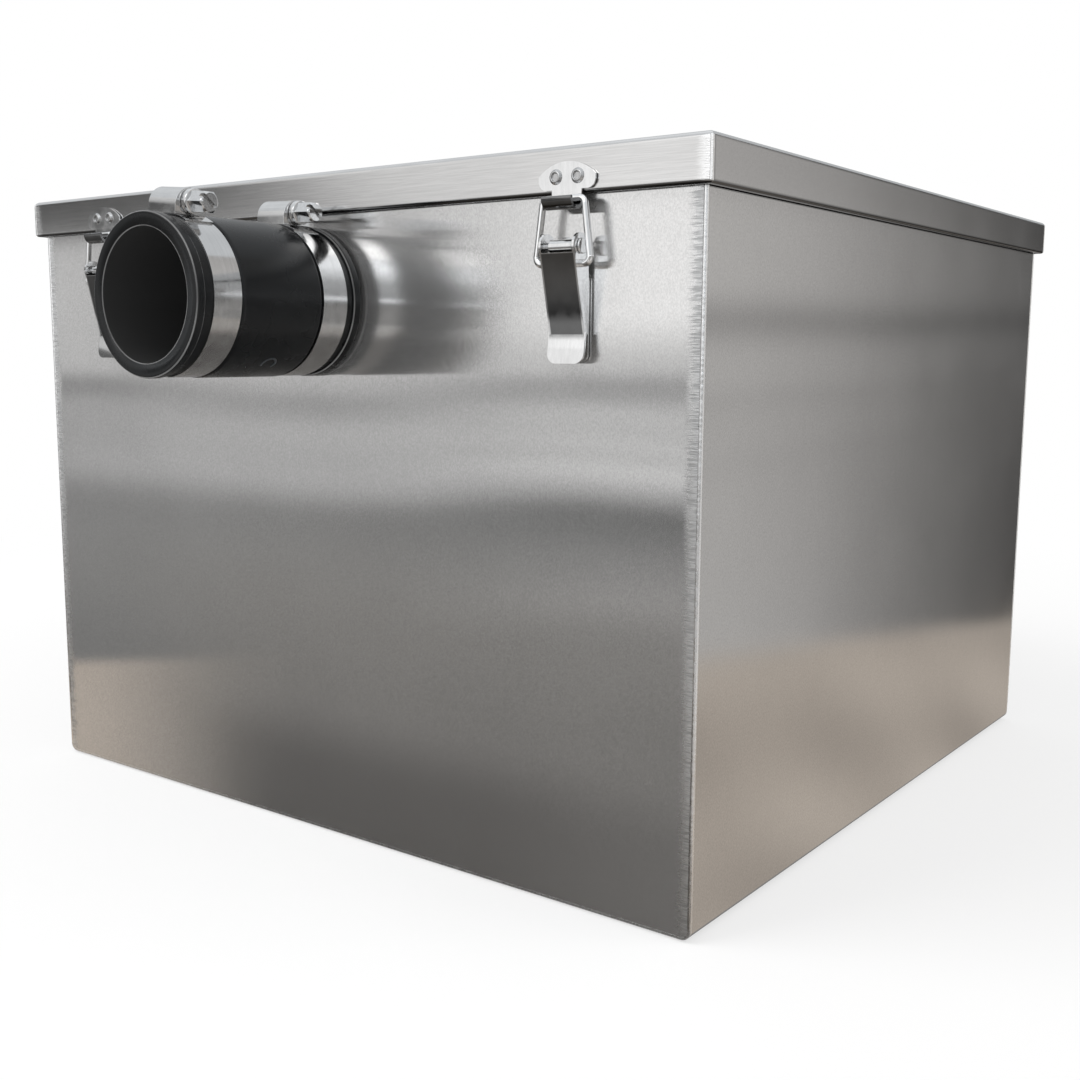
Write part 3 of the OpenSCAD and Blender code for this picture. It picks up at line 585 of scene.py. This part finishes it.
def bright_steel(name, tones, roughness, lines, scratch=0.0015 * MM, dark_reflection_span=None, foot=None):
    """Polished or rolled hardware: faint lines, soft patches and fine scratches. The span (low, high, half width)
    paints a dark reflection on what lies between two heights and less than half a width from a latch's middle.
    foot is the distance in y of the sheet that a plate is riveted to: where they meet, a painted contact shade draws
    a dark line round the plate."""
    material, tree, shader = new_material(name)
    place = object_place(tree)
    streak = use_group(tree, brushed, {"Place": place, "Lines": lines}).outputs["Streak"]
    patch = noise(tree, place, 160.0, 3.0)
    colour = mixed(tree, blended(tree, streak, patch, 0.6), grey(tones[0]), grey(tones[1]))
    x, y, z = node(tree, "ShaderNodeSeparateXYZ", {0: place}).outputs
    # painted contact shade: a dark line round a plate where it meets its sheet
    if foot:
        off_sheet = maths(tree, "SUBTRACT", maths(tree, "ABSOLUTE", y), foot)
        colour = mixed(tree, between(tree, off_sheet, 0.35 * MM, 0.65 * MM, 1.0, 0.0), colour, grey(PAINTED_CONTACT_SHADE))
    # painted dark reflection of the ground, on a lever's web and a catch plate's hook
    if dark_reflection_span:
        low, high, half = dark_reflection_span
        off_middle = maths(tree, "ABSOLUTE", maths(tree, "SUBTRACT", maths(tree, "ABSOLUTE", x), LATCH_X))
        inside = maths(tree, "MULTIPLY", between(tree, z, low - 0.2 * MM, low + 0.2 * MM),
                       between(tree, z, high - 0.3 * MM, high + 0.3 * MM, 1.0, 0.0))
        inside = maths(tree, "MULTIPLY", inside,
                       between(tree, off_middle, half - 0.3 * MM, half + 0.2 * MM, 1.0, 0.0))
        colour = mixed(tree, inside, colour, mixed(tree, patch, grey(PAINTED_REFLECTION_TONES[0]), grey(PAINTED_REFLECTION_TONES[1])))
    tree.links.new(colour, shader.inputs["Base Color"])
    tree.links.new(between(tree, patch, 0.3, 0.7, *roughness), shader.inputs["Roughness"])
    tree.links.new(bumped(tree, streak, scratch), shader.inputs["Normal"])
    shader.inputs["Metallic"].default_value = 1.0
    return material


# the latch base and the catch plate get a painted contact shade where they meet their sheet
latch_steel = bright_steel("latch steel", (0.70, 0.86), (0.08, 0.17), PRESSED_LINES, foot=-FRONT_Y)
# the lever and the catch plate get a painted dark reflection
lever_steel = bright_steel("lever steel", (0.72, 0.88), (0.07, 0.14), PRESSED_LINES, dark_reflection_span=web_span)
catch_steel = bright_steel("catch steel", (0.72, 0.88), (0.08, 0.16), PRESSED_LINES, dark_reflection_span=hook_span,
                           foot=lid_high.y)
wire_steel = bright_steel("bail wire", (0.84, 0.94), (0.05, 0.11), (400, 400, 400))
rivet_steel = bright_steel("rivet steel", (0.45, 0.62), (0.22, 0.34), (700, 700, 700))
clip_steel = bright_steel("clip steel", (0.56, 0.76), (0.09, 0.17), ROLLED_LINES, 0.0004 * MM)
screw_steel = bright_steel("screw steel", (0.58, 0.80), (0.07, 0.14), (900, 900, 900))
print("hardware finishes ready")

# %% [markdown]
# ## Rubber
# The couplings are moulded black rubber with a satin skin that is never quite even. The edges of the bore and
# of the lips get a painted pale highlight line, and the inside of the bore stays dull and dark.

# %% Finishes of the couplings and the gasket
inlet_low, inlet_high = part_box("inlet_coupling")
outlet_low, outlet_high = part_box("outlet_coupling")
AXIS_Z = (inlet_low.z + inlet_high.z) / 2, (outlet_low.z + outlet_high.z) / 2
BARREL_R = (inlet_high.x - inlet_low.x) / 2
NEAR_OUT, FAR_OUT = FRONT_Y - inlet_high.y, FRONT_Y - inlet_low.y
BORE_R, LIP_W, LIP_ROUND = 26.6 * MM, 4.4 * MM, 1.0 * MM
TUCK = LIP_ROUND * (1 - math.sqrt(0.5))
LIP_R = BARREL_R - TUCK
# circles of the bore and lip edges that get a painted pale highlight line
HIGHLIGHTED_EDGES = [(BORE_R, FAR_OUT), (LIP_R, FAR_OUT - TUCK), (LIP_R, FAR_OUT - LIP_W + TUCK),
                (LIP_R, NEAR_OUT + TUCK), (LIP_R, NEAR_OUT + LIP_W - TUCK)]
# the first tone is the painted pale highlight on those edges
PAINTED_EDGE_HIGHLIGHT, BORE_TONE, BORE_ROUGH, RUBBER_GLOSS = 0.2, 0.015, 0.85, 0.28


def hypotenuse(tree, a, b):
    """The square root of a a + b b, as an output socket."""
    return maths(tree, "SQRT", maths(tree, "ADD", maths(tree, "MULTIPLY", a, a), maths(tree, "MULTIPLY", b, b)))


def moulded_rubber(name, level, roughness, pore=0.004 * MM, bore_and_edge_highlights=False):
    """Black rubber: dull patches, fine pores and a little dust. The last switch dulls each coupling's bore and
    paints a pale highlight line on the edges of bore and lips, by the distance from the circle of that edge."""
    material, tree, shader = new_material(name)
    place = object_place(tree)
    patch = noise(tree, place, 45.0, 3.0)
    pores = noise(tree, place, 2600.0, 2.0)
    dust = between(tree, noise(tree, place, 900.0, 4.0, 0.7), 0.62, 0.8, 0.0, 0.5)
    colour = mixed(tree, patch, grey(level * 0.8, -0.2), grey(level * 1.25, -0.2))
    colour = mixed(tree, maths(tree, "MULTIPLY", dust, patch), colour, grey(level * 3.0, 0.05))
    rough = between(tree, patch, 0.3, 0.7, *roughness)
    if bore_and_edge_highlights:
        x, y, z = node(tree, "ShaderNodeSeparateXYZ", {0: place}).outputs
        up = maths(tree, "SUBTRACT", z, between(tree, y, -10 * MM, 10 * MM, *AXIS_Z))
        away = hypotenuse(tree, x, up)
        out = maths(tree, "SUBTRACT", maths(tree, "ABSOLUTE", y), -FRONT_Y)
        nearest = 1.0
        for edge_r, edge_out in HIGHLIGHTED_EDGES:
            gap = hypotenuse(tree, maths(tree, "SUBTRACT", away, edge_r), maths(tree, "SUBTRACT", out, edge_out))
            nearest = maths(tree, "MINIMUM", gap, nearest)
        # painted highlight: a pale line along the edges of the bore and the lips
        edge_highlight = maths(tree, "MULTIPLY", between(tree, nearest, 0.15 * MM, 0.45 * MM, 1.0, 0.0),
                    between(tree, patch, 0.25, 0.6, 0.45, 1.0))
        in_bore = between(tree, away, BORE_R, BORE_R + 0.3 * MM, 1.0, 0.0)
        colour = mixed(tree, in_bore, colour, grey(BORE_TONE))
        rough = maths(tree, "MAXIMUM", rough, maths(tree, "MULTIPLY", in_bore, BORE_ROUGH))
        colour = mixed(tree, edge_highlight, colour, grey(PAINTED_EDGE_HIGHLIGHT))
    tree.links.new(colour, shader.inputs["Base Color"])
    tree.links.new(rough, shader.inputs["Roughness"])
    tree.links.new(bumped(tree, pores, pore), shader.inputs["Normal"])
    shader.inputs["Specular IOR Level"].default_value = RUBBER_GLOSS
    return material


coupling_rubber = moulded_rubber("coupling rubber", 0.007, (0.22, 0.31), bore_and_edge_highlights=True)
rubbed_rubber = moulded_rubber("rubbed rubber", 0.05, (0.3, 0.4))
gasket_rubber = moulded_rubber("gasket rubber", 0.05, (0.75, 0.9), 0.06 * MM)
print("rubber finishes ready")

# %% [markdown]
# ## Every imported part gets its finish
# Parts whose shape is already right keep their mesh and only change their material. A part's slot gives its
# finish, apart from the end panels with their ground corner bands and the latch parts with their dark places.

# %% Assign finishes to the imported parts
FINISH_BY_SLOT = {
    "tank_steel": wrap_steel, "lid_steel": lid_steel, "inner_steel": inner_steel, "latch_steel": latch_steel,
    "rivet_steel": rivet_steel, "clip_steel": clip_steel, "screw_steel": screw_steel,
    "coupling_rubber": coupling_rubber, "gasket_rubber": gasket_rubber,
}
FINISH_BY_ENDING = {"_panel": panel_steel, "_lever": lever_steel, "_catch_plate": catch_steel, "_bail": wire_steel}


def finish_for(name):
    """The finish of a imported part: by the ending of its name, or else by its slot."""
    for ending, finish in FINISH_BY_ENDING.items():
        if name.endswith(ending):
            return finish
    return FINISH_BY_SLOT[slot_of[name]]


for name, part in nodes.items():
    part.data.materials.clear()
    part.data.materials.append(finish_for(name))
print(len(nodes), "parts finished")

# %% [markdown]
# ## Pressed edges
# A pressing or a screw head never has a knife edge: the small round catches a bright line of light. A copy of the
# part's mesh is merged, its flat faces are joined, and a Bevel rounds what is left. The copy stands for the part.
# The couplings have rounds of their own, so their copies are only merged and shaded smooth.

# %% Helpers for pieces
def dress(piece, body, finish):
    """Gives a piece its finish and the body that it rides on."""
    piece.data.materials.clear()
    piece.data.materials.append(finish)
    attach(piece, body)


def stand_for(piece, name):
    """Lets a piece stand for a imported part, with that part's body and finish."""
    dress(piece, body_of[name], finish_for(name))
    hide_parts(name)


def reworked(mesh, merge=0.0, join_flats=False, face_out=False):
    """Merges the points of a mesh within a distance, joins its flat faces or turns its faces outwards."""
    work = bmesh.new()
    work.from_mesh(mesh)
    if merge > 0:
        bmesh.ops.remove_doubles(work, verts=work.verts, dist=merge)
    if join_flats:
        bmesh.ops.dissolve_limit(work, angle_limit=math.radians(0.5), verts=work.verts, edges=work.edges)
    if face_out:
        bmesh.ops.recalc_face_normals(work, faces=work.faces)
    work.to_mesh(mesh)
    work.free()


def shaded(mesh, sharp):
    """Shades a mesh smooth, with a break at edges sharper than an angle."""
    mesh.polygons.foreach_set("use_smooth", np.full(len(mesh.polygons), True))
    mesh.set_sharp_from_angle(angle=sharp)


print("piece helpers ready")

# %% Round the edges of the hardware
ROUNDS = {"_catch_plate": 0.35, "_latch_base": 0.35, "_pivot_pin": 0.3, "_lever": 0.35,
          "_housing": 0.45, "_band": 0.2, "_rivets": 0.25, "_coupling": 0.0}
SHARP = math.radians(32)


def rounded_copy(name, width):
    """A merged copy of a part whose sharp edges get a round of the given width. Width 0 keeps the part's own
    rounds and only shades them smooth."""
    mesh = nodes[name].data.copy()
    mesh.name = name + "_rounded"
    reworked(mesh, merge=0.002 * MM, join_flats=width > 0)
    shaded(mesh, SHARP)
    piece = bpy.data.objects.new(name + "_rounded", mesh)
    bpy.context.scene.collection.objects.link(piece)
    if width > 0:
        bevel = piece.modifiers.new("edge round", "BEVEL")
        bevel.width, bevel.segments = width, 3
        bevel.limit_method, bevel.angle_limit = "ANGLE", SHARP
        bevel.harden_normals = True
    return piece


rounded = 0
for name in sorted(nodes):
    for ending, width in ROUNDS.items():
        if name.endswith(ending):
            stand_for(rounded_copy(name, width * MM), name)
            rounded += 1
print(rounded, "rounded pieces")

# %% [markdown]
# ## Clip screws
# A worm-drive clip is tightened by a captive screw: a worm under the housing, a collar against its end, and a
# slotted hexagon head with a chamfered end. All of it is one radius round the screw's axis, so one grid of height
# and angle makes the whole screw. The screw turns with its own joint.

# %% Worm, collar and slotted hexagon head
HOUSING_HALF, NOSE, PLAY = 8.25 * MM, 0.8 * MM, 0.2 * MM
WORM_R, WORM_PITCH, THREAD = 4.1 * MM, 2.6 * MM, 0.9 * MM
COLLAR_R, COLLAR_LEN, COLLAR_ROUND = 5.1 * MM, 3.0 * MM, 0.6 * MM
HEX_FLAT, HEX_LEN, CHAMFER, CHAMFER_SLOPE = 4.0 * MM, 8.5 * MM, 0.9 * MM, 1.2
SLOT_HALF, SLOT_DEEP, SLOT_EDGE = 0.65 * MM, 2.4 * MM, 0.06 * MM
SLOT_TURN = math.radians(-38)


def screw_grid(rounds=120):
    """Points (t, r cos a, r sin a), where t runs along the axis.
    Worm: r = R - depth ((1 + cos(2 pi t / pitch - a)) / 2)^2. Collar: r = R with rounded corners.
    Head: r = flat / cos(a within a sixth - 30 deg), cut by a chamfer cone. Where |r sin(a - turn)| is less than
    the slot's half width, t is lowered by the slot's depth."""
    a = np.linspace(0, 2 * math.pi, rounds, endpoint=False)[None, :]
    all_round = np.zeros_like(a)
    collar_start, head_start = HOUSING_HALF + PLAY, HOUSING_HALF + PLAY + COLLAR_LEN
    end_t = head_start + HEX_LEN
    worm_t = np.linspace(-HOUSING_HALF - NOSE, collar_start, 110)[:, None]
    worm_r = WORM_R - THREAD * ((1 + np.cos(2 * math.pi * worm_t / WORM_PITCH - a)) / 2) ** 2
    worm_r = worm_r * ease(-0.25 * MM, 0.7 * MM, worm_t + HOUSING_HALF + NOSE)
    quarter = np.linspace(0, math.pi / 2, 6)[:, None]
    round_t, round_r = COLLAR_ROUND * (1 - np.cos(quarter)), COLLAR_ROUND * (1 - np.sin(quarter))
    collar_t = np.vstack([collar_start + round_t, head_start - round_t[::-1]])
    collar_r = COLLAR_R - np.vstack([round_r, round_r[::-1]])
    side_t = head_start + HEX_LEN * (1 - (1 - np.linspace(0, 1, 14)[:, None]) ** 1.6)
    hex_r = HEX_FLAT / np.cos((a % (math.pi / 3)) - math.pi / 6)
    cone_r = HEX_FLAT / math.cos(math.pi / 6) - CHAMFER_SLOPE * np.maximum(side_t - end_t + CHAMFER, 0)
    side_r = np.minimum(hex_r, cone_r)
    face_r = side_r[-1] * np.linspace(0.97, 0.0, 22)[:, None]
    face_t = np.full_like(face_r, end_t)
    t = np.vstack([np.vstack([worm_t[:1], worm_t, collar_t, side_t]) + all_round, face_t])
    r = np.vstack([all_round, worm_r, collar_r + all_round, side_r, face_r])
    in_slot = 1 - ease(SLOT_HALF - SLOT_EDGE, SLOT_HALF + SLOT_EDGE, np.abs(r * np.sin(a - SLOT_TURN)))
    over = np.maximum(t - (end_t - SLOT_DEEP), 0)
    return np.stack([t - in_slot * over, r * np.cos(a), r * np.sin(a)], -1)


screw_points = screw_grid()
screw_faces = grid_faces(*screw_points.shape[:2], close_columns=True)
for name in sorted(nodes):
    if name.endswith("_screw"):
        joint = joints[name.replace("_screw", "_turn")]
        axis, level_axis = np.array(joint["axis"], float), np.array([0.0, 1.0, 0.0])
        frame_axes = np.stack([axis, level_axis, np.cross(axis, level_axis)])
        placed = screw_points @ frame_axes + np.array(joint["pos_m"])
        screw = mesh_piece(name + "_turned", placed, screw_faces)
        reworked(screw.data, merge=0.001 * MM, face_out=True)
        shaded(screw.data, math.radians(28))
        stand_for(screw, name)
print("four clip screws,", len(screw_faces), "faces each")

# %% [markdown]
# ## Weld beads
# A ground weld keeps a thin bright crest. A round rod would look drawn, so the bead is a profile carried along the
# seam, whose radius ripples as the weld pool did. On the tank it runs down one corner of the end panel, along the
# bottom and up the other corner, and on the lid up each corner of the skirt.

# %% Helpers for beads
RIPPLE = 0.012


def lengths(path):
    """The length along a polyline up to each of its points."""
    return np.concatenate([[0], np.cumsum(np.linalg.norm(np.diff(path, axis=0), axis=1))])


def evenly(corners, step):
    """Points along a polyline, a step apart."""
    corners = np.asarray(corners, float)
    s = lengths(corners)
    marks = np.linspace(0, s[-1], int(s[-1] / step) + 1)
    return np.column_stack([np.interp(marks, s, corners[:, k]) for k in range(3)])


def weld_bead(name, path, radius, sides=8):
    """Rings of points P + r(s) (cos a N + sin a B) round a path P(s), with r(s) = radius (1 + two uneven
    ripples), N = the path's tangent turned in the upright plane of the seam and B = tangent x N; flat end caps."""
    along = np.gradient(path, axis=0)
    along /= np.linalg.norm(along, axis=1)[:, None]
    out = np.cross(along, [0.0, 1.0, 0.0])
    out /= np.linalg.norm(out, axis=1)[:, None]
    third = np.cross(along, out)
    s = lengths(path)
    ripple = 1 + RIPPLE * (np.sin(s / (0.9 * MM)) + np.sin(s / (0.37 * MM) + 3 * np.sin(s / (4 * MM))))
    a = np.linspace(0, 2 * math.pi, sides, endpoint=False)
    ring = np.cos(a)[None, :, None] * out[:, None] + np.sin(a)[None, :, None] * third[:, None]
    points = path[:, None] + (radius * ripple)[:, None, None] * ring
    faces = grid_faces(len(path), sides, close_columns=True).tolist()
    last = (len(path) - 1) * sides
    faces += [list(range(sides)), list(range(last + sides - 1, last - 1, -1))]
    bead = mesh_piece(name, points, faces)
    reworked(bead.data, face_out=True)
    return bead


print("bead helpers ready")

# %% Beads along the tank's corners and the lid's corners
BEAD_INSET, BEAD_R, FOOT_BEAD_R, LID_BEAD_R = 0.75 * MM, 1.05 * MM, 0.85 * MM, 0.9 * MM
FOOT_ROUND, RIM_GAP = 3.5 * MM, 3 * MM
bead_steel = bright_steel("ground bead", (0.86, 0.97), (0.2, 0.32), (1500, 1500, 1500), 0.0005 * MM)

foot_turn = np.linspace(0, math.pi / 2, 9)
side_x = HALF_W - BEAD_INSET
half_foot = np.column_stack([side_x - FOOT_ROUND + FOOT_ROUND * np.cos(foot_turn), np.zeros_like(foot_turn),
                             BEAD_INSET + FOOT_ROUND - FOOT_ROUND * np.sin(foot_turn)])
right_half = np.vstack([[side_x, 0, RIM_TOP - RIM_GAP], half_foot])
seam_line = np.vstack([right_half * [-1, 1, 1], right_half[::-1]])
for end, side in (("front", -1), ("rear", 1)):
    path = evenly(seam_line, 0.35 * MM) + [0, side * (-FRONT_Y - BEAD_INSET), 0]
    bead_r = BEAD_R + (FOOT_BEAD_R - BEAD_R) * ease(9 * MM, 3 * MM, path[:, 2])
    dress(weld_bead(end + "_seam_bead", path, bead_r), "root", bead_steel)
    for hand, turn in (("left", -1), ("right", 1)):
        x, y = turn * (lid_high.x - BEAD_INSET), side * (lid_high.y - BEAD_INSET)
        path = evenly([[x, y, lid_low.z + 0.8 * MM], [x, y, lid_high.z - 1.6 * MM]], 0.3 * MM)
        dress(weld_bead(f"lid_{end}_{hand}_bead", path, LID_BEAD_R), "root", bead_steel)
print("six weld beads")

# %% [markdown]
# ## Mould mark
# The couplings are moulded, and the gate leaves a small raised ring on the underside of the barrel. It is a thin
# rod bent into part of a circle and laid on the barrel's own curve.

# %% Gate mark on each coupling
GATE_R, GATE_ROD, GATE_OUT = 3.4 * MM, 0.42 * MM, 43 * MM
GATE_TURN, GATE_START, GATE_END = (math.radians(a) for a in (-55, -130, 110))


def gate_mark(name, node_name, side):
    """Part of a circle drawn on the unrolled barrel and wrapped round it: a point at arc u and length v goes to
    the barrel's angle turn + u / R and to v past the mark's distance out from the panel."""
    low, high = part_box(node_name)
    centre_z, barrel = (low.z + high.z) / 2, (high.x - low.x) / 2
    t = np.linspace(GATE_START, GATE_END, 60)
    angle = GATE_TURN + GATE_R * np.cos(t) / barrel
    out = side * (-FRONT_Y + GATE_OUT + GATE_R * np.sin(t))
    path = np.column_stack([barrel * np.cos(angle), out, centre_z + barrel * np.sin(angle)])
    return weld_bead(name, path, GATE_ROD)


for end, side in (("inlet", -1), ("outlet", 1)):
    mark = gate_mark(end + "_gate_mark", end + "_coupling", side)
    dress(mark, "root", rubbed_rubber)
print("two gate marks")

# %% [markdown]
# Dressing must not change the object's size. The last line brings the scene up to date.

bpy.context.view_layer.update()
